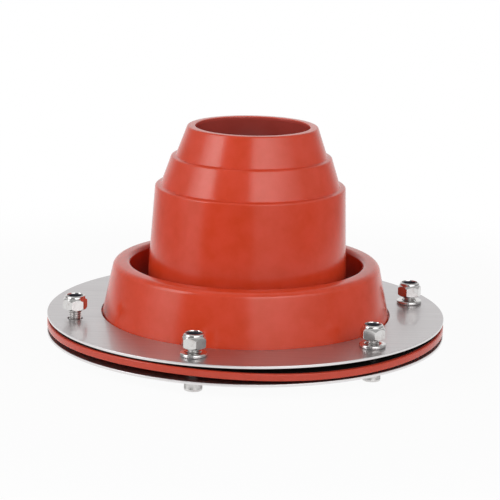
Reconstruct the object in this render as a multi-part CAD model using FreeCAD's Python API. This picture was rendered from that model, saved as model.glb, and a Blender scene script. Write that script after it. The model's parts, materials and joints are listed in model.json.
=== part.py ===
# Tent stove jack: a folded silicone pipe boot clamped between two stainless rings by six cap screws.
# Units are millimetres, +Z is up, and the origin is on the pipe's axis, level with the undersides
# of the screw heads that the jack stands on.
import FreeCAD, Part
import math
import os

# Boot mouth that grips the stove pipe
MOUTH_DIAMETER = 52.8
MOUTH_LIP = 3.6
MOUTH_LAND = 2.5
MOUTH_EDGE_RADIUS = 0.5
MOUTH_SHOULDER_RADIUS = 1.6

# Boot tube: three segments that widen downwards, with a small ledge at the head of the lower two.
# A flare is how much wider a segment's radius is at its foot than at its head.
TOP_SEGMENT_HEIGHT = 14.1
TOP_SEGMENT_FLARE = 4.9
UPPER_LEDGE = 2.1
MIDDLE_SEGMENT_HEIGHT = 13.6
MIDDLE_SEGMENT_FLARE = 4.4
LOWER_LEDGE = 2.6
LOWER_SEGMENT_HEIGHT = 55.9
LOWER_SEGMENT_FLARE = 2.9
LEDGE_RISE = 0.3
LEDGE_EDGE_RADIUS = 0.9
LEDGE_CORNER_RADIUS = 0.6
TUBE_WALL = 3.6

# Boot moat between the tube and the collar; its floor is this high above the upper ring
MOAT_FLOOR_WIDTH = 6.5
MOAT_FLOOR_HEIGHT = 4.0
MOAT_FLOOR_RADIUS = 3.2
MOAT_FLARE = 0.6
MOAT_EDGE_RADIUS = 2.2

# Boot collar: the outer side of the fold, which leans inwards to a rounded crest
CREST_WIDTH = 7.7
CREST_FALL = 0.5
CREST_EDGE_RADIUS = 3.2
COLLAR_HEIGHT = 23.9
COLLAR_FLARE = 5.3
FOLD_WALL = 2.8
FOLD_INNER_RADIUS = 1.0

# Boot flange, flush with the rings; its raised root seats them and leaves gaps at the rim for the tent
ROOT_WIDTH = 6.0
FLANGE_THICKNESS = 3.2
FLANGE_EDGE_RADIUS = 0.5
GAP_BELOW_FLANGE = 1.9
GAP_ABOVE_FLANGE = 1.8

# Rings
RING_WIDTH = 25.1
RING_THICKNESS = 1.2
COLLAR_CLEARANCE = 0.4

# Cap screws, with the first one's bearing counted from +X towards +Y
SCREW_COUNT = 6
FIRST_SCREW_BEARING = 14.2
SCREW_EDGE_DISTANCE = 11.9
SCREW_LENGTH = 16.0
SCREW_CLEARANCE = 0.5
SCREW_TIP_CHAMFER = 0.7
THREAD_DIAMETER = 6.0
HEAD_DIAMETER = 8.0
HEAD_HEIGHT = 6.0
HEAD_EDGE_RADIUS = 0.4
SOCKET_WIDTH = 4.0
SOCKET_DEPTH = 2.5

# Flat washers, and which of the screws still have theirs
WASHER_DIAMETER = 12.0
WASHER_THICKNESS = 1.6
WASHER_EDGE_RADIUS = 0.6
WASHER_CLEARANCE = 0.2
WASHERS_PRESENT = (True, True, True, False, True, True)

# Lock nuts, backed off from the ring, each turned by its own amount from facing -Y
NUT_WIDTH = 10.0
NUT_FLAT_HEIGHT = 4.3
NUT_CHAMFER_ANGLE = 30.0
NUT_TURNS = (12.0, 40.0, -10.0, 18.0, -20.5, -21.0)
NUT_LIFT = 3.75
BARE_NUT_LIFT = 4.45
CROWN_HEIGHT = 2.1
CROWN_DIAMETER = 9.7
CROWN_LIP = 1.3
CROWN_EDGE_RADIUS = 1.2

# Nylon locking inserts inside the nuts' crowns
INSERT_HEIGHT = 1.6
INSERT_RECESS = 0.25
INSERT_GRIP = 0.3

# Levels of the stack, worked out from the screw heads upwards
LOWER_RING_BASE = HEAD_HEIGHT
LOWER_RING_TOP = LOWER_RING_BASE + RING_THICKNESS
FLANGE_BASE = LOWER_RING_TOP + GAP_BELOW_FLANGE
FLANGE_TOP = FLANGE_BASE + FLANGE_THICKNESS
UPPER_RING_BASE = FLANGE_TOP + GAP_ABOVE_FLANGE
UPPER_RING_TOP = UPPER_RING_BASE + RING_THICKNESS
MOAT_FLOOR = UPPER_RING_TOP + MOAT_FLOOR_HEIGHT
CREST = UPPER_RING_TOP + COLLAR_HEIGHT
LOWER_LEDGE_LEVEL = MOAT_FLOOR + LOWER_SEGMENT_HEIGHT
UPPER_LEDGE_LEVEL = LOWER_LEDGE_LEVEL + MIDDLE_SEGMENT_HEIGHT
MOUTH_LEVEL = UPPER_LEDGE_LEVEL + TOP_SEGMENT_HEIGHT

# Radii, worked out from the mouth outwards
MOUTH_BORE = MOUTH_DIAMETER / 2
MOUTH_RIM = MOUTH_BORE + MOUTH_LIP
TOP_FOOT = MOUTH_RIM + TOP_SEGMENT_FLARE
MIDDLE_HEAD = TOP_FOOT + UPPER_LEDGE
MIDDLE_FOOT = MIDDLE_HEAD + MIDDLE_SEGMENT_FLARE
LOWER_HEAD = MIDDLE_FOOT + LOWER_LEDGE
LOWER_FOOT = LOWER_HEAD + LOWER_SEGMENT_FLARE
MOAT_FLOOR_EDGE = LOWER_FOOT + MOAT_FLOOR_WIDTH
MOAT_MOUTH = MOAT_FLOOR_EDGE + MOAT_FLARE
CREST_EDGE = MOAT_MOUTH + CREST_WIDTH
COLLAR_FOOT = CREST_EDGE + COLLAR_FLARE
ROOT_EDGE = COLLAR_FOOT + ROOT_WIDTH
RING_HOLE = COLLAR_FOOT + COLLAR_CLEARANCE
RIM = RING_HOLE + RING_WIDTH
BOLT_CIRCLE = RIM - SCREW_EDGE_DISTANCE

# Levels in a nut, worked out from its base upwards, with a short slope between its flats and its crown
NUT_FLAT_RADIUS = NUT_WIDTH / 2
CROWN_RADIUS = CROWN_DIAMETER / 2
NUT_SLOPE = math.tan(math.radians(NUT_CHAMFER_ANGLE))
CROWN_FOOT = NUT_FLAT_HEIGHT + (NUT_FLAT_RADIUS - CROWN_RADIUS) * NUT_SLOPE
NUT_HEIGHT = CROWN_FOOT + CROWN_HEIGHT
INSERT_TOP = NUT_HEIGHT - INSERT_RECESS
INSERT_BASE = INSERT_TOP - INSERT_HEIGHT
INSERT_RADIUS = CROWN_RADIUS - CROWN_LIP

UP = FreeCAD.Vector(0, 0, 1)
ORIGIN = FreeCAD.Vector(0, 0, 0)
HEX_SIDES = 6
HEX_CORNER_RATIO = 1 / math.cos(math.pi / HEX_SIDES)


def section_edges(corners):
    """Straight sides joined by tangent arcs: each corner is (radius from the axis, height, rounding)."""
    points = [FreeCAD.Vector(across, 0, height) for across, height, rounding in corners]
    starts = []
    ends = []
    arcs = []
    for index, point in enumerate(points):
        rounding = corners[index][2]
        back = (points[index - 1] - point).normalize()
        ahead = (points[(index + 1) % len(points)] - point).normalize()
        half_angle = back.getAngle(ahead) / 2
        reach = rounding / math.tan(half_angle)
        starts.append(point + back * reach)
        ends.append(point + ahead * reach)
        if rounding:
            bisector = (back + ahead).normalize()
            middle = point + bisector * (rounding / math.sin(half_angle) - rounding)
            arcs.append(Part.Arc(starts[-1], middle, ends[-1]).toShape())
        else:
            arcs.append(None)
    edges = []
    for index, arc in enumerate(arcs):
        if arc:
            edges.append(arc)
        edges.append(Part.LineSegment(ends[index], starts[(index + 1) % len(points)]).toShape())
    return edges


def turned(corners):
    """Solid of revolution about the Z axis from a closed section."""
    return Part.Face(Part.Wire(section_edges(corners))).revolve(ORIGIN, UP, 360)


def post(radius, base, top):
    """Upright cylinder on the Z axis between two heights."""
    return Part.makeCylinder(radius, top - base, FreeCAD.Vector(0, 0, base), UP)


def hexagon(width, base, top):
    """Upright hexagonal bar of the given width across flats, with one flat facing -Y."""
    corner_radius = width / 2 * HEX_CORNER_RATIO
    bearings = [2 * math.pi * side / HEX_SIDES for side in range(HEX_SIDES)]
    corners = [FreeCAD.Vector(corner_radius * math.cos(bearing), corner_radius * math.sin(bearing), base)
               for bearing in bearings]
    return Part.Face(Part.makePolygon(corners + corners[:1])).extrude(UP * (top - base))


def at_screw(shape, index, turn=0.0, lift=0.0):
    """Copy of a shape made on the Z axis, turned about it and moved to one screw's place."""
    bearing = math.radians(FIRST_SCREW_BEARING + index * 360 / SCREW_COUNT)
    place = FreeCAD.Vector(BOLT_CIRCLE * math.cos(bearing), BOLT_CIRCLE * math.sin(bearing), lift)
    copy = shape.copy()
    copy.rotate(ORIGIN, UP, turn)
    copy.translate(place)
    return copy


def screw_holes(base, top):
    """Clearance holes for all the screws between two heights."""
    hole = post(THREAD_DIAMETER / 2 + SCREW_CLEARANCE, base, top)
    return Part.makeCompound([at_screw(hole, index) for index in range(SCREW_COUNT)])


def ring(base):
    """Flat stainless ring, drilled for the screws and open for the collar."""
    top = base + RING_THICKNESS
    return post(RIM, base, top).cut(post(RING_HOLE, base, top)).cut(screw_holes(base, top))


def flange_corners():
    """Rim and raised root of the flange, from the underside of the root to the foot of the collar."""
    return [
        (ROOT_EDGE, LOWER_RING_TOP, 0),
        (ROOT_EDGE, FLANGE_BASE, 0),
        (RIM, FLANGE_BASE, FLANGE_EDGE_RADIUS),
        (RIM, FLANGE_TOP, FLANGE_EDGE_RADIUS),
        (ROOT_EDGE, FLANGE_TOP, 0),
        (ROOT_EDGE, UPPER_RING_BASE, 0),
        (COLLAR_FOOT, UPPER_RING_BASE, 0),
    ]


def skin_corners():
    """Weather side of the boot: over the collar's crest, down the moat and up the stepped tube."""
    return [
        (CREST_EDGE, CREST, CREST_EDGE_RADIUS),
        (MOAT_MOUTH, CREST + CREST_FALL, MOAT_EDGE_RADIUS),
        (MOAT_FLOOR_EDGE, MOAT_FLOOR, MOAT_FLOOR_RADIUS),
        (LOWER_FOOT, MOAT_FLOOR, MOAT_FLOOR_RADIUS),
        (LOWER_HEAD, LOWER_LEDGE_LEVEL, LEDGE_EDGE_RADIUS),
        (MIDDLE_FOOT, LOWER_LEDGE_LEVEL + LEDGE_RISE, LEDGE_CORNER_RADIUS),
        (MIDDLE_HEAD, UPPER_LEDGE_LEVEL, LEDGE_EDGE_RADIUS),
        (TOP_FOOT, UPPER_LEDGE_LEVEL + LEDGE_RISE, LEDGE_CORNER_RADIUS),
        (MOUTH_RIM, MOUTH_LEVEL, MOUTH_SHOULDER_RADIUS),
    ]


def lining_corners():
    """Pipe side of the boot: down from the mouth one wall inside the skin, and up into the fold."""
    lower_ledge = LOWER_LEDGE_LEVEL - TUBE_WALL
    upper_ledge = UPPER_LEDGE_LEVEL - TUBE_WALL
    moat_underside = MOAT_FLOOR - FOLD_WALL
    return [
        (MOUTH_BORE, MOUTH_LEVEL, MOUTH_EDGE_RADIUS),
        (MOUTH_BORE, MOUTH_LEVEL - MOUTH_LAND, LEDGE_EDGE_RADIUS),
        (TOP_FOOT - TUBE_WALL, upper_ledge + LEDGE_RISE, LEDGE_EDGE_RADIUS),
        (MIDDLE_HEAD - TUBE_WALL, upper_ledge, LEDGE_CORNER_RADIUS),
        (MIDDLE_FOOT - TUBE_WALL, lower_ledge + LEDGE_RISE, LEDGE_EDGE_RADIUS),
        (LOWER_HEAD - TUBE_WALL, lower_ledge, LEDGE_CORNER_RADIUS),
        (LOWER_FOOT - TUBE_WALL, moat_underside, MOAT_FLOOR_RADIUS + FOLD_WALL),
        (MOAT_FLOOR_EDGE + FOLD_WALL, moat_underside, MOAT_FLOOR_RADIUS + FOLD_WALL),
        (MOAT_MOUTH + FOLD_WALL, CREST + CREST_FALL - FOLD_WALL, FOLD_INNER_RADIUS),
        (CREST_EDGE - FOLD_WALL, CREST - FOLD_WALL, FOLD_INNER_RADIUS),
        (COLLAR_FOOT - FOLD_WALL, LOWER_RING_TOP, 0),
    ]


def silicone_boot():
    """The one-piece moulding: flange, folded collar and stepped tube turned from a single section."""
    moulding = turned(flange_corners() + skin_corners() + lining_corners())
    return moulding.cut(screw_holes(FLANGE_BASE, FLANGE_TOP))


def cap_screw():
    """Socket cap screw standing on its head, with the hexagon socket open below."""
    head = turned([
        (0, 0, 0),
        (HEAD_DIAMETER / 2, 0, HEAD_EDGE_RADIUS),
        (HEAD_DIAMETER / 2, HEAD_HEIGHT, 0),
        (0, HEAD_HEIGHT, 0),
    ])
    tip = HEAD_HEIGHT + SCREW_LENGTH
    shank = turned([
        (0, HEAD_HEIGHT, 0),
        (THREAD_DIAMETER / 2, HEAD_HEIGHT, 0),
        (THREAD_DIAMETER / 2, tip - SCREW_TIP_CHAMFER, 0),
        (THREAD_DIAMETER / 2 - SCREW_TIP_CHAMFER, tip, 0),
        (0, tip, 0),
    ])
    return head.fuse(shank).cut(hexagon(SOCKET_WIDTH, 0, SOCKET_DEPTH)).removeSplitter()


def flat_washer():
    """Plain washer with a rounded rim, lying on the upper ring."""
    top = UPPER_RING_TOP + WASHER_THICKNESS
    bore = THREAD_DIAMETER / 2 + WASHER_CLEARANCE
    rim = WASHER_DIAMETER / 2
    return turned([
        (bore, UPPER_RING_TOP, 0),
        (rim, UPPER_RING_TOP, WASHER_EDGE_RADIUS),
        (rim, top, WASHER_EDGE_RADIUS),
        (bore, top, 0),
    ])


def lock_nut():
    """Hexagon nut with chamfered corners and a domed crown crimped over its insert, its base at Z 0."""
    corner_radius = NUT_FLAT_RADIUS * HEX_CORNER_RATIO
    corner_reach = corner_radius - NUT_FLAT_RADIUS
    envelope = turned([
        (0, 0, 0),
        (NUT_FLAT_RADIUS, 0, 0),
        (corner_radius, corner_reach * NUT_SLOPE, 0),
        (corner_radius, NUT_FLAT_HEIGHT - corner_reach * NUT_SLOPE, 0),
        (CROWN_RADIUS, CROWN_FOOT, 0),
        (CROWN_RADIUS, NUT_HEIGHT, CROWN_EDGE_RADIUS),
        (0, NUT_HEIGHT, 0),
    ])
    body = hexagon(NUT_WIDTH, 0, NUT_HEIGHT).common(envelope)
    bore = post(THREAD_DIAMETER / 2, 0, NUT_HEIGHT)
    pocket = post(INSERT_RADIUS, INSERT_BASE, NUT_HEIGHT)
    return body.cut(bore).cut(pocket).removeSplitter()


def nut_insert():
    """Nylon ring seated in the pocket of a lock nut's crown."""
    bore = post(THREAD_DIAMETER / 2 - INSERT_GRIP, INSERT_BASE, INSERT_TOP)
    return post(INSERT_RADIUS, INSERT_BASE, INSERT_TOP).cut(bore)


def has_washer(index):
    """Whether a screw still has its washer."""
    return WASHERS_PRESENT[index % len(WASHERS_PRESENT)]


def nut_base(index):
    """Height of a nut's base, which stands clear of the upper ring."""
    return UPPER_RING_TOP + (NUT_LIFT if has_washer(index) else BARE_NUT_LIFT)


def nut_turn(index):
    """How far a nut is turned from facing -Y."""
    return NUT_TURNS[index % len(NUT_TURNS)]


def on_screws(shape):
    """The same shape at every screw."""
    return Part.makeCompound([at_screw(shape, index) for index in range(SCREW_COUNT)])


def on_nuts(shape):
    """The same shape at every nut, lifted and turned with it."""
    return Part.makeCompound([at_screw(shape, index, nut_turn(index), nut_base(index))
                              for index in range(SCREW_COUNT)])


def under_nuts(shape):
    """The same shape at every screw that still has its washer."""
    return Part.makeCompound([at_screw(shape, index) for index in range(SCREW_COUNT) if has_washer(index)])


NODES = {
    "silicone_boot": silicone_boot(),
    "upper_ring": ring(UPPER_RING_BASE),
    "lower_ring": ring(LOWER_RING_BASE),
    "cap_screws": on_screws(cap_screw()),
    "flat_washers": under_nuts(flat_washer()),
    "lock_nuts": on_nuts(lock_nut()),
    "nut_inserts": on_nuts(nut_insert()),
}

os.makedirs("parts", exist_ok=True)
for name, shape in NODES.items():
    shape.exportStep("parts/" + name + ".step")
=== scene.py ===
import json
import math
from typing import NamedTuple

import bmesh
import bpy
from bpy.props import FloatProperty, FloatVectorProperty, PointerProperty
from mathutils import Matrix, Vector


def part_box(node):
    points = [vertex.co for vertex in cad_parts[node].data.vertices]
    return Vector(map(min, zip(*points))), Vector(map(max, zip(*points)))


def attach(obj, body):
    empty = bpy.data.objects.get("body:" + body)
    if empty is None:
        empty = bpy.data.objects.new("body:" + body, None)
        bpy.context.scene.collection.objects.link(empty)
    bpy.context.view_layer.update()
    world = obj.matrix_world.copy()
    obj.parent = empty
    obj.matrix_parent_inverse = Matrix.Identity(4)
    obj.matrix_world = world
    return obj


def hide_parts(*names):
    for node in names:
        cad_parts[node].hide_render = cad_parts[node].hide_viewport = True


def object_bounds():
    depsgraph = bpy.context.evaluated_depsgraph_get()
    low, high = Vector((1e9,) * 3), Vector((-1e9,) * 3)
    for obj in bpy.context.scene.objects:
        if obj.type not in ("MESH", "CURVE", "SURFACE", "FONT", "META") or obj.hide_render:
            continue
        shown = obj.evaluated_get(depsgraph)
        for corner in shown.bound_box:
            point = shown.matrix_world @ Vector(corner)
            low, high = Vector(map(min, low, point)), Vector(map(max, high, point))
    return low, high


bl_info = {
    "name": "Tent Stove Jack",
    "version": (1, 0, 0),
    "blender": (4, 5, 0),
    "location": "View3D > Sidebar > Stove Jack",
    "description": "Models and finishes a folded silicone pipe boot clamped between two steel rings",
    "category": "Add Mesh",
}

# The fixed frame, and the levels and reaches that the pieces take from it
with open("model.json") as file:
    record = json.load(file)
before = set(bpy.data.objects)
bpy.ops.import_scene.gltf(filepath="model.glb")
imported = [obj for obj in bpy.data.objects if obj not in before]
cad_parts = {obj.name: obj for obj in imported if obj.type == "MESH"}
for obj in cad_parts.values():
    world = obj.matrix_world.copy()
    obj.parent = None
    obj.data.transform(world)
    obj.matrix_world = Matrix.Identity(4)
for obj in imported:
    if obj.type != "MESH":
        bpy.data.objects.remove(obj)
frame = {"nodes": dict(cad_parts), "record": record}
CAD_BOX = [list(corner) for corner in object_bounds()]
RECORD = frame["record"]
BOOT_LOW, BOOT_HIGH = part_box("silicone_boot")
UPPER_RING_LOW, UPPER_RING_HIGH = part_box("upper_ring")
LOWER_RING_LOW, LOWER_RING_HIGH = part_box("lower_ring")
RIM = UPPER_RING_HIGH.x

MM = 0.001
UP = Vector((0.0, 0.0, 1.0))
FULL_TURN = 2 * math.pi
MERGE_DISTANCE = 0.0005 * MM
LEVEL_TOLERANCE = 0.002 * MM
SHARP_ANGLE = math.radians(38)

# Steps round a full turn, along a rounded corner and along a nut's flat
RING_STEPS = 256
HOLE_STEPS = 64
KNURL_STEPS = 120
THREAD_STEPS = 40
ARC_STEPS = 6
EDGE_ARC_STEPS = 4
FLAT_CUTS = 12

WHITE = (1.0, 1.0, 1.0)
CAMERA_CLIP_START = 10 * MM
SCREW_ROUGHNESS = 0.3
WASHER_ROUGHNESS = 0.12
NUT_ROUGHNESS = 0.08
HEX_SIDES = 6
HEX_CORNER_RATIO = 1 / math.cos(math.pi / HEX_SIDES)

# Sockets of a Mix node that mixes colours
MIX_FACTOR = 0
MIX_FIRST = 6
MIX_SECOND = 7
MIX_COLOUR = 2


def mount_size(name, size):
    """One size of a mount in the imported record, in metres."""
    mount = next(mount for mount in RECORD["mounts"] if mount["name"] == name)
    return mount["dims"][size] * MM


def slot_colour(slot):
    """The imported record's base colour for a material slot."""
    material = next(material for material in RECORD["materials"] if material["slot"] == slot)
    return material["base_color"]


def length(name, description, size):
    """A length setting, with its default in millimetres."""
    return FloatProperty(name=name, description=description, default=size * MM,
                         precision=4, subtype="DISTANCE", unit="LENGTH")


def angle(name, description, degrees):
    """An angle setting, with its default in degrees."""
    return FloatProperty(name=name, description=description, default=math.radians(degrees),
                         subtype="ANGLE", unit="ROTATION")


def share(name, description, default):
    """A setting between none and all."""
    return FloatProperty(name=name, description=description, default=default,
                         min=0.0, max=1.0, subtype="FACTOR")


def colour(name, description, default):
    """A colour setting."""
    return FloatVectorProperty(name=name, description=description, default=default,
                               min=0.0, max=1.0, subtype="COLOR")


class BootSizes(bpy.types.PropertyGroup):
    """Sizes of the silicone boot. A flare is how much wider a wall is at its foot than at its head."""

    mouth_lip: length("Mouth lip", "Width of the rim round the mouth", 3.6)
    mouth_land: length("Mouth land", "Height of the straight band that grips the pipe", 1.4)
    mouth_edge: length("Mouth edge", "Rounding of the rim towards the pipe", 0.5)
    mouth_shoulder: length("Mouth shoulder", "Rounding of the rim's outer edge", 0.9)
    top_height: length("Top height", "Height of the top segment", 14.1)
    top_flare: length("Top flare", "Flare of the top segment", 4.9)
    upper_ledge: length("Upper ledge", "Width of the ledge below the top segment", 2.1)
    middle_height: length("Middle height", "Height of the middle segment", 13.6)
    middle_flare: length("Middle flare", "Flare of the middle segment", 4.4)
    lower_ledge: length("Lower ledge", "Width of the ledge below the middle segment", 2.6)
    lower_flare: length("Lower flare", "Flare of the long lower segment", 2.9)
    ledge_rise: length("Ledge rise", "How far a ledge climbs towards the pipe", 0.3)
    ledge_edge: length("Ledge edge", "Rounding of a ledge's outer edge", 0.95)
    ledge_corner: length("Ledge corner", "Rounding of a ledge's inner corner", 0.3)
    tube_wall: length("Tube wall", "Wall of the stepped tube", 3.6)
    moat_depth: length("Moat floor", "Height of the moat's floor above the upper ring", 4.0)
    moat_width: length("Moat width", "Width of the moat's floor", 6.5)
    moat_corner: length("Moat corner", "Rounding along the moat's floor", 3.2)
    moat_flare: length("Moat flare", "How much the moat opens upwards", 0.6)
    moat_edge: length("Moat edge", "Rounding of the crest towards the moat", 2.2)
    crest_width: length("Crest width", "Width of the collar's crest", 7.7)
    crest_fall: length("Crest fall", "How far the crest falls outwards", 0.5)
    crest_edge: length("Crest edge", "Rounding of the crest's outer edge", 3.2)
    collar_height: length("Collar height", "Height of the crest above the upper ring", 23.9)
    collar_flare: length("Collar flare", "Flare of the collar", 5.3)
    fold_wall: length("Fold wall", "Wall of the folded collar", 2.8)
    fold_edge: length("Fold edge", "Rounding inside the fold", 1.0)
    root_width: length("Root width", "Width of the flange's raised root, which seats the rings", 6.0)
    flange_thickness: length("Flange thickness", "Thickness of the flange outside its root", 3.2)
    flange_edge: length("Flange edge", "Rounding of the flange's rim", 0.5)
    # The flange's rim band takes a lighter painted shade than the faces under the upper ring and over the
    # lower ring.
    flange_rim_band: length("Flange rim band", "Width of the band at the rim that has its own grime", 1.2)
    gap_below: length("Gap below", "Gap between the lower ring and the flange, for the tent", 1.9)
    hole: length("Hole", "Diameter of a screw hole", 7.0)
    # Painted shade, not dust: the shares below darken the silicone's colour on the pipe side, in the moat,
    # and on the flange under the upper ring, over the lower ring and at its rim, where little light
    # reaches.
    lining_painted_shade: share("Lining grime", "Dark dust on the pipe side of the boot", 0.38)
    moat_painted_shade: share("Moat grime", "Dark dust on the moat's floor, which fades up to the crest", 0.5)
    gap_painted_shade: share("Gap grime", "Dark dust on the flange under the upper ring", 1.0)
    underside_painted_shade: share("Underside grime", "Dark dust on the flange over the lower ring", 0.12)
    rim_painted_shade: share("Rim grime", "Dark dust on the flange's rim", 0.13)
    lean: angle("Lean", "How far the soft tube leans towards +X", 1.15)
    droop: length("Droop", "How far the soft flange's rim hangs down", 0.14)
    wave: length("Wave", "How far the flange's rim rises and falls, twice round", 0.75)
    ripple: length("Ripple", "How far the flange's rim rises and falls, four times round", 0.4)


class MetalSizes(bpy.types.PropertyGroup):
    """Sizes of the rings and fasteners that the frame doesn't give."""

    ring_width: length("Ring width", "Width of a ring's flat face", 25.1)
    ring_edge: length("Ring edge", "Rounding of a ring's edges", 0.22)
    ring_hole: length("Ring hole", "Diameter of a ring's screw hole", 7.0)
    thread_radius: length("Thread radius", "Radius of the screw's thread over its crests", 2.95)
    thread_depth: length("Thread depth", "Depth of the screw's thread", 0.6)
    thread_pitch: length("Thread pitch", "Climb of the screw's thread in a turn", 1.0)
    tip_chamfer: length("Tip chamfer", "Chamfer of the screw's tip", 0.7)
    head_edge: length("Head edge", "Rounding of the screw head's rim", 0.25)
    knurl_margin: length("Knurl margin", "Plain band above and below the head's knurl", 0.9)
    knurl_depth: length("Knurl depth", "Depth of the head's knurl", 0.12)
    socket_width: length("Socket width", "Width across the flats of the head's socket", 4.0)
    socket_depth: length("Socket depth", "Depth of the head's socket", 2.5)
    washer_bore: length("Washer bore", "Diameter of a washer's bore", 6.4)
    washer_edge: length("Washer edge", "Rounding of a washer's edges", 0.6)
    nut_width: length("Nut width", "Width of a nut across its flats", 10.0)
    nut_corner: length("Nut corner", "Rounding of a nut's upright corners", 0.25)
    nut_bevel: length("Nut bevel", "Diameter at which the bevel under a nut starts", 9.7)
    nut_bevel_angle: angle("Nut bevel angle", "Slope of the bevel under a nut", 40.0)
    nut_shoulder_angle: angle("Nut shoulder angle", "Slope of a nut's flats below its crown", 50.0)
    nut_bore: length("Nut bore", "Diameter of a nut's bore", 6.0)
    nut_bore_chamfer: length("Nut bore chamfer", "Chamfer at the foot of a nut's bore", 0.5)
    crown_height: length("Crown height", "Height of a nut's crimped crown", 1.3)
    crown_diameter: length("Crown diameter", "Diameter of a nut's crown", 9.4)
    crown_lip: length("Crown lip", "Width of the crown's crimped lip", 1.05)
    crown_edge: length("Crown edge", "Width of the crown's domed shoulder", 0.95)
    crown_dome: length("Crown dome", "Height of the crown's domed shoulder", 1.2)
    insert_bore: length("Insert bore", "Diameter of a nylon insert's bore", 5.4)
    insert_edge: length("Insert edge", "Rounding of a nylon insert's edges", 0.3)


class FinishColours(bpy.types.PropertyGroup):
    """Colours of the finishes, with the record's as the main ones."""

    silicone: colour("Silicone", "Main colour of the moulded silicone", slot_colour("red_silicone"))
    silicone_deep: colour("Deep silicone", "Darker mottling of the silicone", (0.55, 0.043, 0.01))
    # Painted shade: the dark colour that the silicone's colour is pulled towards where little light
    # reaches, and the near-black it reaches at its strongest.
    painted_shade: colour("Grime", "Dust in the boot's hidden places", (0.05, 0.06, 0.08))
    darkest_painted_shade: colour("Soot", "The thickest grime", (0.012, 0.01, 0.009))
    sheet: colour("Ring sheet", "Colour of the rings' rolled sheet", slot_colour("satin_stainless"))
    sheet_deep: colour("Sheet grain", "Darker grain of the rings' sheet", (0.5, 0.475, 0.48))
    # Painted highlight: the rings' outer rims are brightened towards this colour, where their edges catch
    # the light.
    sheet_rim_highlight: colour("Sheet edge", "Brighter metal of the rings' cut rims", (0.78, 0.76, 0.76))
    bright: colour("Fasteners", "Colour of the bright fasteners", slot_colour("polished_stainless"))
    bright_deep: colour("Fastener stain", "Darker stain on the fasteners", (0.52, 0.475, 0.465))
    nylon: colour("Nylon", "Colour of the nut inserts", slot_colour("dark_nylon"))
    nylon_scuffed: colour("Scuffed nylon", "Paler scuffs on the nut inserts", (0.05, 0.05, 0.065))
    floor: colour("Floor", "Colour of the floor", (0.7, 0.7, 0.7))


class StageSizes(bpy.types.PropertyGroup):
    """Floor, backdrop and camera."""

    floor_radius: length("Floor radius", "Radius of the round floor", 340.0)
    floor_glow: share("Floor glow", "How much of the floor by the object is plain white to the eye", 0.94)
    dark_side: share("Dark side", "Brightness of the room behind the camera", 0.12)
    bright_side: share("Bright side", "Brightness of the room beside the object", 0.38)
    ceiling: share("Ceiling", "How far the dark side brightens towards the ceiling", 0.32)
    fill: share("Fill", "How much of the room's brightness lights the object", 0.4)
    softbox_foot: share("Softbox foot", "Glow at a softbox's foot, as a share of the glow at its top", 0.2)
    camera_distance: length("Camera distance", "From the camera to the upper ring's centre", 919.773)
    camera_rise: angle("Camera rise", "Height of the camera over the ring's plane", 14.911)
    camera_roll: angle("Camera roll", "Roll of the camera", 1.177)
    camera_aim: FloatVectorProperty(name="Camera aim", description="Point that the camera looks at",
                                    default=(1.529 * MM, 0.0, 44.305 * MM), subtype="XYZ", unit="LENGTH")
    camera_lens: FloatProperty(name="Camera lens", description="Focal length of the camera",
                               default=141.12, subtype="DISTANCE_CAMERA", unit="CAMERA")


class StoveJackSettings(bpy.types.PropertyGroup):
    """All settings of the stove jack."""

    boot: PointerProperty(name="Boot", description="Sizes of the boot", type=BootSizes)
    metal: PointerProperty(name="Metal", description="Sizes of rings and fasteners", type=MetalSizes)
    colours: PointerProperty(name="Colours", description="Colours of the finishes", type=FinishColours)
    stage: PointerProperty(name="Stage", description="Floor and camera", type=StageSizes)


class Solid:
    """One separate solid of a CAD node: its box, its upright axis and the bearing of its widest corner."""

    def __init__(self, points):
        self.low = Vector([min(point[axis] for point in points) for axis in range(3)])
        self.high = Vector([max(point[axis] for point in points) for axis in range(3)])
        self.axis = ((self.low + self.high) / 2).to_2d().to_3d()
        corner = max(points, key=lambda point: (point - self.axis).to_2d().length) - self.axis
        self.radius = corner.to_2d().length
        self.corner_bearing = math.atan2(corner.y, corner.x)


def solids(node):
    """The separate solids of a CAD node, in order round the pipe from -X."""
    work = bmesh.new()
    work.from_mesh(frame["nodes"][node].data)
    bmesh.ops.remove_doubles(work, verts=work.verts, dist=MERGE_DISTANCE)
    waiting = set(work.verts)
    found = []
    while waiting:
        island = [waiting.pop()]
        for vert in island:
            linked = {edge.other_vert(vert) for edge in vert.link_edges} & waiting
            waiting -= linked
            island.extend(linked)
        found.append(Solid([vert.co.copy() for vert in island]))
    work.free()
    return sorted(found, key=lambda solid: math.atan2(solid.axis.y, solid.axis.x))


def spin_section(work, corners, axis=Vector(), steps=RING_STEPS, arc_steps=ARC_STEPS):
    """Spin an open section about an upright axis; each corner is (radius, height, rounding).

    The new vertices come back.
    """
    before = set(work.verts)
    points = [axis + Vector((radius, 0.0, height)) for radius, height, rounding in corners]
    verts = [work.verts.new(point) for point in points]
    for pair in zip(verts, verts[1:]):
        work.edges.new(pair)
    for index in range(1, len(corners) - 1):
        rounding = corners[index][2]
        if rounding:
            back = points[index - 1] - points[index]
            ahead = points[index + 1] - points[index]
            reach = rounding / math.tan(back.angle(ahead) / 2)
            bmesh.ops.bevel(work, geom=[verts[index]], offset=reach, offset_type="OFFSET",
                            affect="VERTICES", segments=arc_steps, profile=0.5, material=-1)
    section = [vert for vert in work.verts if vert not in before]
    sides = {edge for vert in section for edge in vert.link_edges}
    bmesh.ops.spin(work, geom=section + list(sides), cent=axis, axis=UP, dvec=(0.0, 0.0, 0.0),
                   angle=FULL_TURN, steps=steps, use_merge=True, use_normal_flip=False,
                   use_duplicate=False)
    return [vert for vert in work.verts if vert not in before]


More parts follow.
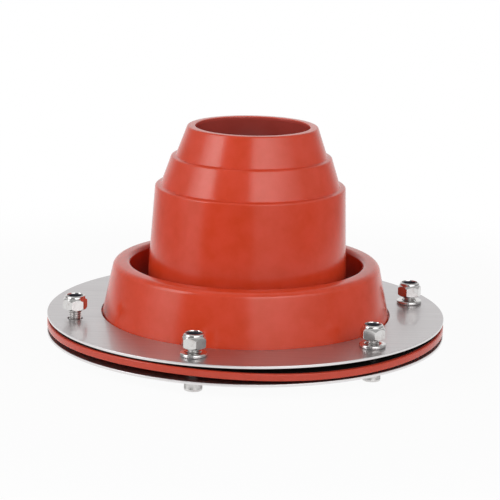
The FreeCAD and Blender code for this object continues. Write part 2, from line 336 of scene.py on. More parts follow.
def crease_level(work, level):
    """Make the edges that lie at one height crisp, and return them."""
    edges = [edge for edge in work.edges
             if all(abs(vert.co.z - level) < LEVEL_TOLERANCE for vert in edge.verts)]
    for edge in edges:
        edge.smooth = False
    return edges


def fill_level(work, level):
    """Close all open loops at one height with a flat, crisp-edged face."""
    loops = [edge for edge in crease_level(work, level) if edge.is_boundary]
    bmesh.ops.triangle_fill(work, use_beauty=True, use_dissolve=False, edges=loops, normal=UP)


def extrude_loop(work, loop, place):
    """Extrude a closed loop of edges and put each new vertex where place says; the new loop comes back."""
    made = bmesh.ops.extrude_edge_only(work, edges=loop)["geom"]
    verts = {item for item in made if isinstance(item, bmesh.types.BMVert)}
    for vert in verts:
        vert.co = place(vert.co)
    return [item for item in made if isinstance(item, bmesh.types.BMEdge)
            and verts.issuperset(item.verts)]


def on_circle(radius, height):
    """Place function that moves a vertex along its own bearing to a radius and height."""
    def place(point):
        bearing = math.atan2(point.y, point.x)
        return Vector((radius * math.cos(bearing), radius * math.sin(bearing), height))
    return place


def hexagon_loop(work, width, level, corner_bearing=0.0):
    """Closed hexagon of edges round the Z axis, with a corner at the bearing."""
    circle = bmesh.ops.create_circle(work, cap_ends=False, segments=HEX_SIDES,
                                     radius=width / 2 * HEX_CORNER_RATIO)["verts"]
    first = math.atan2(circle[0].co.y, circle[0].co.x)
    bmesh.ops.rotate(work, verts=circle, cent=(0.0, 0.0, 0.0),
                     matrix=Matrix.Rotation(corner_bearing - first, 3, "Z"))
    bmesh.ops.translate(work, verts=circle, vec=UP * level)
    return list({edge for vert in circle for edge in vert.link_edges})


def add_object(work, name, finish):
    """Turn a mesh into an object of the scene."""
    mesh = bpy.data.meshes.new(name)
    work.to_mesh(mesh)
    work.free()
    mesh.materials.append(finish)
    made = bpy.data.objects.new(name, mesh)
    bpy.context.scene.collection.objects.link(made)
    return made


def add_piece(work, name, node, finish):
    """Make the finished mesh a piece that rides on the frame in place of its CAD node."""
    bmesh.ops.remove_doubles(work, verts=work.verts, dist=MERGE_DISTANCE)
    bmesh.ops.recalc_face_normals(work, faces=work.faces)
    work.normal_update()
    for face in work.faces:
        face.smooth = True
    for edge in work.edges:
        if not edge.is_manifold:
            raise RuntimeError(name + " has an open seam")
        if edge.calc_face_angle() > SHARP_ANGLE:
            edge.smooth = False
    piece = add_object(work, name, finish)
    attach(piece, "root")
    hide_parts(node)


class BootShape:
    """Section of the boot: levels down from the mouth, and radii from the mouth outwards."""

    def __init__(self, sizes):
        self.sizes = sizes
        self.mouth = BOOT_HIGH.z
        self.upper_ledge = self.mouth - sizes.top_height
        self.lower_ledge = self.upper_ledge - sizes.middle_height
        self.moat_floor = UPPER_RING_HIGH.z + sizes.moat_depth
        self.crest = UPPER_RING_HIGH.z + sizes.collar_height
        self.flange_base = LOWER_RING_HIGH.z + sizes.gap_below
        self.flange_top = self.flange_base + sizes.flange_thickness
        self.bore_radius = mount_size("pipe_bore", "r_mm")
        self.rim_radius = self.bore_radius + sizes.mouth_lip
        self.top_foot = self.rim_radius + sizes.top_flare
        self.middle_head = self.top_foot + sizes.upper_ledge
        self.middle_foot = self.middle_head + sizes.middle_flare
        self.lower_head = self.middle_foot + sizes.lower_ledge
        self.lower_foot = self.lower_head + sizes.lower_flare
        self.moat_side = self.lower_foot + sizes.moat_width
        self.moat_mouth = self.moat_side + sizes.moat_flare
        self.crest_edge = self.moat_mouth + sizes.crest_width
        self.collar_foot = self.crest_edge + sizes.collar_flare
        self.root_edge = self.collar_foot + sizes.root_width
        climb = (self.crest - self.moat_floor) / (self.lower_ledge - self.moat_floor)
        self.crest_line = self.lower_foot - climb * sizes.lower_flare

    def flange_rim(self):
        """Outer end of the flange, with the rim bands of its two flat faces."""
        edge = self.sizes.flange_edge
        less_shaded = RIM - self.sizes.flange_rim_band
        return [
            (less_shaded - edge, self.flange_base, 0),
            (less_shaded, self.flange_base, 0),
            (RIM, self.flange_base, edge),
            (RIM, self.flange_top, edge),
            (less_shaded, self.flange_top, 0),
            (less_shaded - edge, self.flange_top, 0),
        ]

    def skin(self):
        """Weather side, from the flange's upper face to the middle of the mouth's rim."""
        sizes = self.sizes
        return [
            (self.root_edge, self.flange_top, 0),
            (self.root_edge, UPPER_RING_LOW.z, 0),
            (self.collar_foot, UPPER_RING_LOW.z, 0),
            (self.crest_edge, self.crest, sizes.crest_edge),
            (self.moat_mouth, self.crest + sizes.crest_fall, sizes.moat_edge),
            (self.moat_side, self.moat_floor, sizes.moat_corner),
            (self.lower_foot, self.moat_floor, sizes.moat_corner),
            (self.crest_line, self.crest, 0),
            (self.lower_head, self.lower_ledge, sizes.ledge_edge),
            (self.middle_foot, self.lower_ledge + sizes.ledge_rise, sizes.ledge_corner),
            (self.middle_head, self.upper_ledge, sizes.ledge_edge),
            (self.top_foot, self.upper_ledge + sizes.ledge_rise, sizes.ledge_corner),
            (self.rim_radius, self.mouth, sizes.mouth_shoulder),
            (self.bore_radius + 2 * sizes.mouth_edge, self.mouth, 0),
        ]

    def lining(self):
        """Pipe side, from the middle of the mouth's rim to the flange's lower face."""
        sizes = self.sizes
        wall = sizes.tube_wall
        fold = sizes.fold_wall
        underside = self.moat_floor - fold
        return [
            (self.bore_radius + 2 * sizes.mouth_edge, self.mouth, 0),
            (self.bore_radius, self.mouth, sizes.mouth_edge),
            (self.bore_radius, self.mouth - sizes.mouth_land, sizes.ledge_edge),
            (self.top_foot - wall, self.upper_ledge - wall + sizes.ledge_rise, sizes.ledge_edge),
            (self.middle_head - wall, self.upper_ledge - wall, sizes.ledge_corner),
            (self.middle_foot - wall, self.lower_ledge - wall + sizes.ledge_rise, sizes.ledge_edge),
            (self.lower_head - wall, self.lower_ledge - wall, sizes.ledge_corner),
            (self.lower_foot - wall, underside, sizes.moat_corner + fold),
            (self.moat_side + fold, underside, sizes.moat_corner + fold),
            (self.moat_mouth + fold, self.crest + sizes.crest_fall - fold, sizes.fold_edge),
            (self.crest_edge - fold, self.crest - fold, sizes.fold_edge),
            (self.collar_foot - fold, BOOT_LOW.z, 0),
            (self.root_edge, BOOT_LOW.z, 0),
            (self.root_edge, self.flange_base, 0),
        ]

    def paint_shade(self, work, lining, painted_shade):
        """Paint shade where little light reaches: on the lining, in the moat, deepest at its floor, and on
        the flange between the rings, lightest at its rim band.
        """
        sizes = self.sizes
        less_shaded = RIM - sizes.flange_rim_band - LEVEL_TOLERANCE
        root = self.root_edge - LEVEL_TOLERANCE
        tube = self.crest_line - LEVEL_TOLERANCE
        floor = self.moat_floor - LEVEL_TOLERANCE
        flange_middle = (self.flange_base + self.flange_top) / 2
        # Painted shade on the pipe side, below the mouth's rounded edge.
        for vert in lining:
            if vert.co.z < self.mouth - sizes.mouth_edge / 2:
                vert[painted_shade] = sizes.lining_painted_shade
        for vert in work.verts:
            radius = vert.co.to_2d().length
            depth = (self.crest - vert.co.z) / (self.crest - self.moat_floor)
            # Painted shade on the flange: light at its rim band, full in the gap under the upper ring,
            # faint over the lower ring.
            if radius > less_shaded:
                vert[painted_shade] = sizes.rim_painted_shade
            elif radius > root and vert.co.z > flange_middle:
                vert[painted_shade] = sizes.gap_painted_shade
            elif radius > root:
                vert[painted_shade] = sizes.underside_painted_shade
            # Painted shade in the moat, strongest at its floor and gone at the crest.
            elif tube < radius < self.moat_mouth and floor < vert.co.z < self.crest:
                vert[painted_shade] = sizes.moat_painted_shade * depth

    def relax(self, work):
        """Let the soft moulding give: the tube leans and the flange's rim waves, as it was photographed."""
        moat_middle = (self.lower_foot + self.moat_side) / 2
        slope = math.tan(self.sizes.lean)
        for vert in work.verts:
            radius = vert.co.to_2d().length
            if radius < moat_middle:
                vert.co.x += slope * max(0.0, vert.co.z - self.moat_floor)
            elif radius > self.root_edge:
                reach = (radius - self.root_edge) / (RIM - self.root_edge)
                bearing = math.atan2(vert.co.y, vert.co.x)
                rise = self.sizes.wave * math.sin(2 * bearing) - self.sizes.ripple * math.sin(4 * bearing)
                vert.co.z += reach * (rise - self.sizes.droop)


def build_boot(sizes, finish):
    """The one-piece silicone moulding."""
    shape = BootShape(sizes)
    work = bmesh.new()
    # Share of painted shade at each vertex, which the silicone's finish reads.
    painted_shade = work.verts.layers.float.new("painted_shade")
    for screw in solids("cap_screws"):
        hole = [(sizes.hole / 2, shape.flange_base, 0), (sizes.hole / 2, shape.flange_top, 0)]
        spin_section(work, hole, screw.axis, HOLE_STEPS)
    spin_section(work, shape.flange_rim())
    spin_section(work, shape.skin())
    lining = spin_section(work, shape.lining())
    fill_level(work, shape.flange_base)
    fill_level(work, shape.flange_top)
    # Paint shade on the lining, in the moat and on the flange between the rings.
    shape.paint_shade(work, lining, painted_shade)
    shape.relax(work)
    add_piece(work, "silicone_boot", "silicone_boot", finish)


def build_ring(node, sizes, finish):
    """One flat ring with lightly rounded edges and drilled holes."""
    low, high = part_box(node)
    edge = sizes.ring_edge
    work = bmesh.new()

    def side(radius, inset):
        """Section of a rim or, with a negative inset, of a hole."""
        return [
            (radius - inset, low.z, 0),
            (radius, low.z, edge),
            (radius, high.z, edge),
            (radius - inset, high.z, 0),
        ]

    for screw in solids("cap_screws"):
        spin_section(work, side(sizes.ring_hole / 2, -2 * edge), screw.axis, HOLE_STEPS, EDGE_ARC_STEPS)
    spin_section(work, side(high.x, 2 * edge), arc_steps=EDGE_ARC_STEPS)
    spin_section(work, side(high.x - sizes.ring_width, -2 * edge), arc_steps=EDGE_ARC_STEPS)
    fill_level(work, low.z)
    fill_level(work, high.z)
    add_piece(work, node, node, finish)


def build_flat_rings(name, node, bore, edge, finish):
    """Washers or inserts: closed rings of plain section with rounded edges, where the solids sit."""
    for number, solid in enumerate(solids(node), 1):
        base = solid.low.z
        top = solid.high.z
        middle = (base + top) / 2
        work = bmesh.new()
        spin_section(work, [
            (bore, middle, 0),
            (bore, base, edge),
            (solid.radius, base, edge),
            (solid.radius, top, edge),
            (bore, top, edge),
            (bore, middle, 0),
        ], steps=HOLE_STEPS, arc_steps=EDGE_ARC_STEPS)
        bmesh.ops.translate(work, verts=work.verts, vec=solid.axis)
        add_piece(work, f"{name}_{number}", node, finish)


def add_thread(work, sizes, base, tip):
    """Right-hand thread wound up the Z axis and cut off square at its two ends."""
    pitch = sizes.thread_pitch
    crest = sizes.thread_radius
    root = crest - sizes.thread_depth
    # One tooth as radii and shares of the pitch
    tooth = [(root, 0), (root, 1 / 8), (crest, 7 / 16), (crest, 9 / 16), (root, 7 / 8), (root, 1)]
    start = base - pitch
    verts = [work.verts.new((radius, 0.0, start + climb * pitch)) for radius, climb in tooth]
    edges = [work.edges.new(pair) for pair in zip(verts, verts[1:])]
    turns = math.ceil((tip - start) / pitch)
    bmesh.ops.spin(work, geom=verts + edges, cent=(0.0, 0.0, 0.0), axis=UP,
                   dvec=UP * pitch / THREAD_STEPS, angle=turns * FULL_TURN,
                   steps=turns * THREAD_STEPS, use_merge=False, use_normal_flip=False,
                   use_duplicate=False)
    bmesh.ops.remove_doubles(work, verts=work.verts, dist=MERGE_DISTANCE)
    for vert in work.verts:
        limit = crest - max(0.0, vert.co.z - (tip - sizes.tip_chamfer))
        radius = vert.co.to_2d().length
        if radius > limit > 0:
            vert.co.xy *= limit / radius
    for level, direction in ((base, -UP), (tip, UP)):
        bmesh.ops.bisect_plane(work, geom=work.verts[:] + work.edges[:] + work.faces[:],
                               dist=MERGE_DISTANCE, plane_co=UP * level, plane_no=direction,
                               clear_outer=True)


def add_knurl(verts, sizes, base, top):
    """Press the grooves of a straight knurl into a screw head's side."""
    for vert in verts:
        step = round(math.atan2(vert.co.y, vert.co.x) / FULL_TURN * KNURL_STEPS)
        if step % 2 and base < vert.co.z < top:
            vert.co.xy *= 1 - sizes.knurl_depth / vert.co.to_2d().length


def cap_screw_mesh(solid, sizes):
    """Socket cap screw with a knurled head and a wound thread, on the Z axis."""
    work = bmesh.new()
    head_top = LOWER_RING_LOW.z
    add_thread(work, sizes, head_top, solid.high.z)
    shank = set(work.verts)
    edge = sizes.head_edge
    under_edge = edge / 3
    margin = sizes.knurl_margin
    fade = sizes.knurl_depth
    spin_section(work, [
        (solid.radius - 2 * edge, solid.low.z, 0),
        (solid.radius, solid.low.z, edge),
        (solid.radius, solid.low.z + margin, 0),
        (solid.radius, solid.low.z + margin + fade, 0),
        (solid.radius, head_top - margin - fade, 0),
        (solid.radius, head_top - margin, 0),
        (solid.radius, head_top, under_edge),
        (solid.radius - edge, head_top, 0),
    ], steps=KNURL_STEPS, arc_steps=EDGE_ARC_STEPS)
    head = [vert for vert in work.verts if vert not in shank]
    add_knurl(head, sizes, solid.low.z + margin + fade / 2, head_top - margin - fade / 2)
    for level in (solid.low.z + margin, head_top - margin):
        crease_level(work, level)
    socket = hexagon_loop(work, sizes.socket_width, solid.low.z)
    floor = solid.low.z + sizes.socket_depth
    drill_point = floor + sizes.socket_depth / 4
    socket_end = extrude_loop(work, socket, lambda point: point.to_2d().to_3d() + UP * floor)
    extrude_loop(work, socket_end, lambda point: UP * drill_point)
    for level in (solid.low.z, head_top, solid.high.z):
        fill_level(work, level)
    return work


def build_lock_nut(name, solid, pocket_floor, sizes, finish):
    """Hexagon nut with a bevelled foot and a domed crown crimped over its insert."""
    work = bmesh.new()
    hexagon_loop(work, sizes.nut_width, 0.0, solid.corner_bearing)
    bmesh.ops.bevel(work, geom=work.verts[:], offset=sizes.nut_corner, offset_type="OFFSET",
                    affect="VERTICES", segments=EDGE_ARC_STEPS, profile=0.5, material=-1)
    shortest_flat = sizes.nut_width / 4
    flats = [edge for edge in work.edges if edge.calc_length() > shortest_flat]
    bmesh.ops.subdivide_edges(work, edges=flats, cuts=FLAT_CUTS, use_grid_fill=False)
    outline = work.edges[:]
    base = solid.low.z
    top = solid.high.z
    foot = sizes.nut_bevel / 2
    crown = sizes.crown_diameter / 2
    crown_foot = top - sizes.crown_height
    edge = sizes.crown_edge
    dome = sizes.crown_dome
    pocket = crown - sizes.crown_lip
    lip_level = top - sizes.crown_lip / 8
    bore = sizes.nut_bore / 2
    chamfer = sizes.nut_bore_chamfer
    bevel_slope = math.tan(sizes.nut_bevel_angle)
    shoulder_slope = math.tan(sizes.nut_shoulder_angle)

    def on_cone(radius, height, slope):
        """Place function for the edge where the flats meet a cone through a circle."""
        def place(point):
            flat = point.to_2d()
            return flat.to_3d() + UP * (height + slope * (flat.length - radius))
        return place

    for vert in work.verts:
        vert.co = on_cone(foot, base, bevel_slope)(vert.co)
    loop = extrude_loop(work, outline, on_cone(crown, crown_foot, -shoulder_slope))
    arc = [math.pi / 2 * step / ARC_STEPS for step in range(ARC_STEPS + 1)]
    rise = [(crown, crown_foot)]
    rise += [(crown - edge + edge * math.cos(turn), top - dome + dome * math.sin(turn)) for turn in arc]
    rise += [(pocket, lip_level), (pocket, pocket_floor), (bore, pocket_floor)]
    for radius, height in rise:
        loop = extrude_loop(work, loop, on_circle(radius, height))
    loop = outline
    sink = [(foot, base), (bore + chamfer, base), (bore, base + chamfer), (bore, pocket_floor)]
    for radius, height in sink:
        loop = extrude_loop(work, loop, on_circle(radius, height))
    bmesh.ops.translate(work, verts=work.verts, vec=solid.axis)
    add_piece(work, name, "lock_nuts", finish)


class Signal:
    """A shader socket for Python expressions, in which each operator adds a Math node."""

    def __init__(self, shading, socket):
        self.shading = shading
        self.socket = socket

    def math(self, operation, first, second):
        return self.shading.add("ShaderNodeMath", {"operation": operation}, {0: first, 1: second})

    def __add__(self, other):
        return self.math("ADD", self, other)

    def __radd__(self, other):
        return self.math("ADD", other, self)

    def __sub__(self, other):
        return self.math("SUBTRACT", self, other)

    def __rsub__(self, other):
        return self.math("SUBTRACT", other, self)

    def __mul__(self, other):
        return self.math("MULTIPLY", self, other)

    def __rmul__(self, other):
        return self.math("MULTIPLY", other, self)


class Shading:
    """A node tree, and the one way in which nodes are added to it."""

    def __init__(self, tree):
        self.tree = tree
        tree.nodes.clear()

    def add(self, kind, settings, inputs, output=0):
        """Add a node: its settings first, then its sockets' values or links; one output comes back."""
        node = self.tree.nodes.new(kind)
        for name, value in settings.items():
            setattr(node, name, value)
        for name, value in inputs.items():
            if isinstance(value, Signal):
                self.tree.links.new(value.socket, node.inputs[name])
            else:
                node.inputs[name].default_value = value
        return Signal(self, node.outputs[output]) if len(node.outputs) else None

    def place(self, stretch=(1.0, 1.0, 1.0)):
        """Object coordinates, stretched along the axes."""
        place = self.add("ShaderNodeTexCoord", {}, {}, "Object")
        return self.add("ShaderNodeMapping", {}, {"Vector": place, "Scale": stretch})

    def noise(self, place, scale, detail, roughness=0.5):
        """Soft random pattern from 0 to 1."""
        return self.add("ShaderNodeTexNoise", {},
                        {"Vector": place, "Scale": scale, "Detail": detail, "Roughness": roughness})

    def blend(self, factor, first, second):
        """Mix of two colours."""
        inputs = {MIX_FACTOR: factor, MIX_FIRST: opaque(first), MIX_SECOND: opaque(second)}
        return self.add("ShaderNodeMix", {"data_type": "RGBA"}, inputs, MIX_COLOUR)

    def stretch(self, value, low, high):
        """A value eased so that low becomes 0 and high becomes 1, and held there."""
        return self.add("ShaderNodeMapRange", {"interpolation_type": "SMOOTHSTEP"},
                        {"Value": value, "From Min": low, "From Max": high})

    def reach(self):
        """Distance from the object's upright axis."""
        level = self.place((1.0, 1.0, 0.0))
        return self.add("ShaderNodeVectorMath", {"operation": "LENGTH"}, {0: level}, "Value")

    def axis(self, vector, name):
        """One part of a vector: X, Y or Z."""
        return self.add("ShaderNodeSeparateXYZ", {}, {"Vector": vector}, name)

    def bump(self, height, strength, distance):
        """Normal of a surface roughened by a height pattern."""
        return self.add("ShaderNodeBump", {},
                        {"Height": height, "Strength": strength, "Distance": distance})


def opaque(shade):
    """A colour with full alpha, or a linked colour as it is."""
    return shade if isinstance(shade, Signal) else (*shade, 1.0)


def new_finish(name):
    """A new material and its shading."""
    material = bpy.data.materials.new(name)
    material.use_nodes = True
    return material, Shading(material.node_tree)


def close_finish(shading, sockets):
    """End a finish with its principled shader."""
    shader = shading.add("ShaderNodeBsdfPrincipled", {}, sockets)
    shading.add("ShaderNodeOutputMaterial", {}, {"Surface": shader})


def silicone_finish(colours):
    """Moulded silicone: faint mottling, painted shade in the recesses and between the rings, a satin skin
    and an uneven surface.
    """
    material, shading = new_finish("moulded_silicone")
    place = shading.place()
    mottle = shading.noise(place, scale=120.0, detail=5.0, roughness=0.6)
    bloom = shading.noise(place, scale=34.0, detail=3.0)
    skin = shading.noise(place, scale=2600.0, detail=2.0)
    waves = shading.noise(place, scale=45.0, detail=1.0)
    # Painted shade: the attribute pulls the mottled colour towards the shade colour, and to near black
    # where it is strongest.
    painted_shade = shading.add("ShaderNodeAttribute", {"attribute_name": "painted_shade"}, {}, "Fac")
    deep = shading.stretch(mottle, low=0.3, high=0.75)
    darkest_shade_share = shading.stretch(painted_shade, low=0.6, high=1.0)
    less_shaded = shading.blend(deep, colours.silicone, colours.silicone_deep)
    shaded = shading.blend(painted_shade, less_shaded, colours.painted_shade)
    close_finish(shading, {
        "Base Color": shading.blend(darkest_shade_share, shaded, colours.darkest_painted_shade),
        "Roughness": 0.17 + 0.06 * bloom + 0.03 * skin,
        "IOR": 1.45,
        "Normal": shading.bump(waves + 0.03 * skin, strength=0.15, distance=0.5 * MM),
    })
    return material


def sheet_finish(colours):
    """Rolled stainless sheet: fine grain along X in its colour, gloss and surface, and a painted highlight
    brightening its outer rim.
    """
    material, shading = new_finish("rolled_stainless_sheet")
    along_x = shading.place(stretch=(30.0, 1500.0, 300.0))
    grain = shading.noise(along_x, scale=1.0, detail=3.0, roughness=0.65)
    cloud = shading.noise(shading.place(), scale=40.0, detail=3.0)
    dark_grain = shading.stretch(grain, low=0.35, high=0.7)
    rolled = shading.blend(dark_grain, colours.sheet, colours.sheet_deep)
    # Painted highlight: the base colour brightens over the last 0.3 mm to the outer rim.
    cut = shading.stretch(shading.reach(), low=RIM - 0.3 * MM, high=RIM)
    close_finish(shading, {
        "Base Color": shading.blend(cut, rolled, colours.sheet_rim_highlight),
        "Metallic": 1.0,
        "Roughness": 0.34 + 0.06 * grain + 0.05 * cloud,
        "Coat Weight": 0.5,
        "Coat Roughness": 0.06,
        "Normal": shading.bump(grain, strength=0.08, distance=0.02 * MM),
    })
    return material


def fastener_finish(name, colours, roughness):
    """Bright turned stainless: fine marks and a faint stain."""
    material, shading = new_finish(name)
    stain = shading.noise(shading.place(), scale=420.0, detail=4.0, roughness=0.6)
    round_z = shading.place(stretch=(900.0, 900.0, 4200.0))
    marks = shading.noise(round_z, scale=1.0, detail=3.0)
    stained = shading.stretch(stain, low=0.45, high=0.8)
    close_finish(shading, {
        "Base Color": shading.blend(stained, colours.bright, colours.bright_deep),
        "Metallic": 1.0,
        "Roughness": roughness + 0.07 * stain + 0.05 * marks,
        "Normal": shading.bump(marks, strength=0.1, distance=0.02 * MM),
    })
    return material


def nylon_finish(colours):
    """Dark nylon with paler scuffs from the screw."""
    material, shading = new_finish("dark_nylon_insert")
    scuffs = shading.noise(shading.place(), scale=1500.0, detail=4.0, roughness=0.6)
    scuffed = shading.stretch(scuffs, low=0.5, high=0.8)
    close_finish(shading, {
        "Base Color": shading.blend(scuffed, colours.nylon, colours.nylon_scuffed),
        "Roughness": 0.35 + 0.2 * scuffs,
        "Normal": shading.bump(scuffs, strength=0.2, distance=0.05 * MM),
    })
    return material


def seen_rays(shading):
    """1 for rays that show the backdrop itself, to the eye or in a reflection, and 0 for plain light."""
    rays = {name: shading.add("ShaderNodeLightPath", {}, {}, name)
            for name in ("Is Camera Ray", "Is Glossy Ray", "Is Transmission Ray")}
    total = rays["Is Camera Ray"] + rays["Is Glossy Ray"] + rays["Is Transmission Ray"]
    return shading.stretch(total, low=0.0, high=1.0)


def floor_finish(colours, glow, radius):
    """Pale floor that takes the object's shadow and looks plain white towards its rim."""
    material, shading = new_finish("pale_floor")
    plain = glow + (1 - glow) * shading.stretch(shading.reach(), low=radius / 2, high=radius)
    paper = shading.add("ShaderNodeBsdfDiffuse", {}, {"Color": opaque(colours.floor)})
    white = shading.add("ShaderNodeEmission", {}, {"Color": opaque(WHITE), "Strength": 1.0})
    surface = shading.add("ShaderNodeMixShader", {}, {0: plain * seen_rays(shading), 1: paper, 2: white})
    shading.add("ShaderNodeOutputMaterial", {}, {"Surface": surface})
    return material


def build_floor(stage, colours):
    """Round pale floor just under the screw heads."""
    work = bmesh.new()
    bmesh.ops.create_circle(work, cap_ends=True, segments=RING_STEPS, radius=stage.floor_radius)
    bmesh.ops.translate(work, verts=work.verts, vec=UP * (CAD_BOX[0][2] - LEVEL_TOLERANCE))
    add_object(work, "floor", floor_finish(colours, stage.floor_glow, stage.floor_radius))


def build_room(stage):
    """Room round the stage: white to the eye, else bright behind the object and dark in front."""
    world = bpy.data.worlds.new("studio")
    world.use_nodes = True
    shading = Shading(world.node_tree)
    direction = shading.add("ShaderNodeTexCoord", {}, {}, "Generated")
    behind = shading.axis(direction, "Y")
    above = shading.axis(direction, "Z")
    beside = shading.stretch(behind, low=-0.4, high=0.1)
    far_behind = shading.stretch(behind, low=0.6, high=0.95)
    overhead = shading.stretch(above, low=0.1, high=0.6)
    sides = stage.dark_side + (stage.bright_side - stage.dark_side) * beside
    backdrop = sides + (1 - stage.bright_side) * far_behind
    backdrop = backdrop + (1 - backdrop) * stage.ceiling * overhead
    camera = shading.add("ShaderNodeLightPath", {}, {}, "Is Camera Ray")
    strength = stage.fill + (1 - stage.fill) * seen_rays(shading)
    light = camera + (1 - camera) * backdrop * strength
    room = shading.add("ShaderNodeBackground", {}, {"Color": opaque(WHITE), "Strength": light})
    shading.add("ShaderNodeOutputWorld", {}, {"Surface": room})
    bpy.context.scene.world = world


class Softbox(NamedTuple):
    """A soft lamp: bearing from the camera towards +X, rise and distance from the object, size and glow.

    Angles are in degrees and lengths in metres. Its inner side, which is 0 for its left one and 1 for its
    right one, is the crisp one, and its outer glow is a share of its inner side's. A fill lamp doesn't
    shine: no reflection shows it.
    """

    name: str
    bearing: float
    rise: float
    distance: float
    width: float
    height: float
    radiance: float
    inner_side: float = 0.0
    outer_glow: float = 1.0
    shines: bool = True


SOFTBOXES = (
    Softbox("left_softbox", bearing=-71.5, rise=15.0, distance=1.0, width=0.6, height=1.15,
            radiance=5.0, inner_side=1.0, outer_glow=0.3),
    Softbox("right_softbox", bearing=36.5, rise=15.0, distance=1.0, width=1.27, height=1.15,
            radiance=3.4, outer_glow=0.2),
    Softbox("top_softbox", bearing=0.0, rise=80.0, distance=1.1, width=1.0, height=1.0, radiance=0.4),
    *(Softbox(name, bearing=bearing, rise=10.0, distance=1.2, width=1.0, height=0.9,
              radiance=radiance, shines=False)
      for name, bearing, radiance in (("left_fill", -85.0, 2.5),
                                      ("right_fill", 80.0, 2.1),
                                      ("front_fill", -10.0, 1.1))),
)


def softbox_glow(lamp, stage, inner_side, outer_glow):
    """Give a lamp the glow of a softbox, which falls off to its foot and its outer side."""
    lamp.use_nodes = True
    shading = Shading(lamp.node_tree)
    spot = shading.add("ShaderNodeNewGeometry", {}, {}, "Parametric")
    across = shading.axis(spot, "X")
    up = shading.axis(spot, "Y")
    outwards = inner_side + (1 - 2 * inner_side) * across
    height = shading.stretch(up, low=0.25, high=0.85)
    rise = stage.softbox_foot + (1 - stage.softbox_foot) * height
    fade = 1 - (1 - outer_glow) * shading.stretch(outwards, low=0.3, high=1.0)
    glow = shading.add("ShaderNodeEmission", {}, {"Color": opaque(WHITE), "Strength": rise * fade})
    shading.add("ShaderNodeOutputLight", {}, {"Surface": glow})


def build_softbox(softbox, stage):
    """One rectangular soft lamp that faces the object."""
    bearing = math.radians(softbox.bearing)
    rise = math.radians(softbox.rise)
    level = Vector((math.sin(bearing), -math.cos(bearing), 0.0))
    direction = level * math.cos(rise) + UP * math.sin(rise)
    lamp = bpy.data.lights.new(softbox.name, "AREA")
    lamp.shape = "RECTANGLE"
    lamp.size = softbox.width
    lamp.size_y = softbox.height
    lamp.energy = softbox.radiance * math.pi * softbox.width * softbox.height
    softbox_glow(lamp, stage, softbox.inner_side, softbox.outer_glow)
    holder = bpy.data.objects.new(softbox.name, lamp)
    holder.location = Vector(stage.camera_aim) + direction * softbox.distance
    holder.rotation_mode = "QUATERNION"
    holder.rotation_quaternion = (-direction).to_track_quat("-Z", "Y")
    holder.visible_camera = False
    holder.visible_glossy = softbox.shines
    bpy.context.scene.collection.objects.link(holder)


def build_camera(stage):
    """Camera at the photograph's viewing angle."""
    rise = stage.camera_rise
    ring = UP * UPPER_RING_HIGH.z
    place = ring + stage.camera_distance * Vector((0.0, -math.cos(rise), math.sin(rise)))
    ahead = (Vector(stage.camera_aim) - place).normalized()
    level = ahead.cross(UP).normalized()
    right = Matrix.Rotation(-stage.camera_roll, 3, ahead) @ level
    camera = bpy.data.cameras.new("camera")
    camera.sensor_fit = "HORIZONTAL"
    camera.lens = stage.camera_lens
    camera.clip_start = CAMERA_CLIP_START
    holder = bpy.data.objects.new("camera", camera)
    axes = Matrix((right, right.cross(ahead), -ahead)).transposed()
    holder.matrix_world = Matrix.Translation(place) @ axes.to_4x4()
    bpy.context.scene.collection.objects.link(holder)
    bpy.context.scene.camera = holder


class STOVEJACK_OT_boot(bpy.types.Operator):
    """Model the folded silicone boot"""

    bl_idname = "stovejack.boot"
    bl_label = "Silicone Boot"

    def execute(self, context):
        settings = context.scene.stove_jack
        build_boot(settings.boot, silicone_finish(settings.colours))
        return {"FINISHED"}


class STOVEJACK_OT_rings(bpy.types.Operator):
    """Model the two clamping rings"""

    bl_idname = "stovejack.rings"
    bl_label = "Clamping Rings"

    def execute(self, context):
        settings = context.scene.stove_jack
        finish = sheet_finish(settings.colours)
        for node in ("upper_ring", "lower_ring"):
            build_ring(node, settings.metal, finish)
        return {"FINISHED"}


class STOVEJACK_OT_cap_screws(bpy.types.Operator):
    """Model the cap screws that clamp the rings"""

    bl_idname = "stovejack.cap_screws"
    bl_label = "Cap Screws"

    def execute(self, context):
        settings = context.scene.stove_jack
        finish = fastener_finish("bright_stainless_screws", settings.colours, SCREW_ROUGHNESS)
        screws = solids("cap_screws")
        pattern = cap_screw_mesh(screws[0], settings.metal)
        for number, solid in enumerate(screws, 1):
            work = pattern.copy()
            bmesh.ops.translate(work, verts=work.verts, vec=solid.axis)
            add_piece(work, f"cap_screw_{number}", "cap_screws", finish)
        pattern.free()
        return {"FINISHED"}


class STOVEJACK_OT_flat_washers(bpy.types.Operator):
    """Model the flat washers on the upper ring"""

    bl_idname = "stovejack.flat_washers"
    bl_label = "Flat Washers"

    def execute(self, context):
        settings = context.scene.stove_jack
        finish = fastener_finish("bright_stainless_washers", settings.colours, WASHER_ROUGHNESS)
        metal = settings.metal
        build_flat_rings("flat_washer", "flat_washers",
                         metal.washer_bore / 2, metal.washer_edge, finish)
        return {"FINISHED"}


class STOVEJACK_OT_lock_nuts(bpy.types.Operator):
    """Model the lock nuts, open at the top to their inserts"""

    bl_idname = "stovejack.lock_nuts"
    bl_label = "Lock Nuts"

    def execute(self, context):
        settings = context.scene.stove_jack
        finish = fastener_finish("bright_stainless_nuts", settings.colours, NUT_ROUGHNESS)
        pairs = zip(solids("lock_nuts"), solids("nut_inserts"))
        for number, (nut, insert) in enumerate(pairs, 1):
            build_lock_nut(f"lock_nut_{number}", nut, insert.low.z, settings.metal, finish)
        return {"FINISHED"}


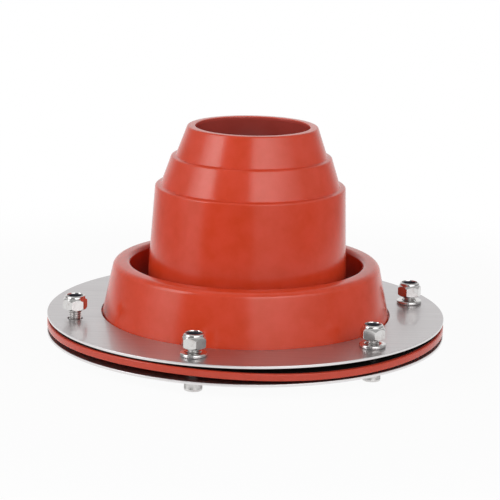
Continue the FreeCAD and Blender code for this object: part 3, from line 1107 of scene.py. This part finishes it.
class STOVEJACK_OT_inserts(bpy.types.Operator):
    """Model the nylon inserts of the lock nuts"""

    bl_idname = "stovejack.inserts"
    bl_label = "Nut Inserts"

    def execute(self, context):
        settings = context.scene.stove_jack
        finish = nylon_finish(settings.colours)
        metal = settings.metal
        build_flat_rings("nut_insert", "nut_inserts",
                         metal.insert_bore / 2, metal.insert_edge, finish)
        return {"FINISHED"}


class STOVEJACK_OT_stage(bpy.types.Operator):
    """Set the floor, the room, the soft lamps and the camera"""

    bl_idname = "stovejack.stage"
    bl_label = "Stage"

    def execute(self, context):
        settings = context.scene.stove_jack
        context.scene.view_settings.view_transform = "Standard"
        build_floor(settings.stage, settings.colours)
        build_room(settings.stage)
        for softbox in SOFTBOXES:
            build_softbox(softbox, settings.stage)
        build_camera(settings.stage)
        return {"FINISHED"}


OPERATORS = (
    STOVEJACK_OT_boot,
    STOVEJACK_OT_rings,
    STOVEJACK_OT_cap_screws,
    STOVEJACK_OT_flat_washers,
    STOVEJACK_OT_lock_nuts,
    STOVEJACK_OT_inserts,
    STOVEJACK_OT_stage,
)


class STOVEJACK_PT_panel(bpy.types.Panel):
    """Sidebar panel that lists the stove jack's pieces"""

    bl_idname = "STOVEJACK_PT_panel"
    bl_label = "Tent Stove Jack"
    bl_space_type = "VIEW_3D"
    bl_region_type = "UI"
    bl_category = "Stove Jack"

    def draw(self, context):
        settings = context.scene.stove_jack
        for operator in OPERATORS:
            self.layout.operator(operator.bl_idname)
        for group in (settings.boot, settings.metal, settings.colours, settings.stage):
            box = self.layout.box()
            for name in group.bl_rna.properties.keys():
                if name not in ("rna_type", "name"):
                    box.prop(group, name)


CLASSES = (BootSizes, MetalSizes, FinishColours, StageSizes, StoveJackSettings,
           *OPERATORS, STOVEJACK_PT_panel)


def register():
    for item in CLASSES:
        bpy.utils.register_class(item)
    bpy.types.Scene.stove_jack = PointerProperty(
        name="Stove jack", description="Settings of the stove jack", type=StoveJackSettings)


def unregister():
    del bpy.types.Scene.stove_jack
    for item in reversed(CLASSES):
        bpy.utils.unregister_class(item)


def main():
    register()
    bpy.ops.stovejack.boot()
    bpy.ops.stovejack.rings()
    bpy.ops.stovejack.cap_screws()
    bpy.ops.stovejack.flat_washers()
    bpy.ops.stovejack.lock_nuts()
    bpy.ops.stovejack.inserts()
    bpy.ops.stovejack.stage()


if __name__ == "__main__":
    main()
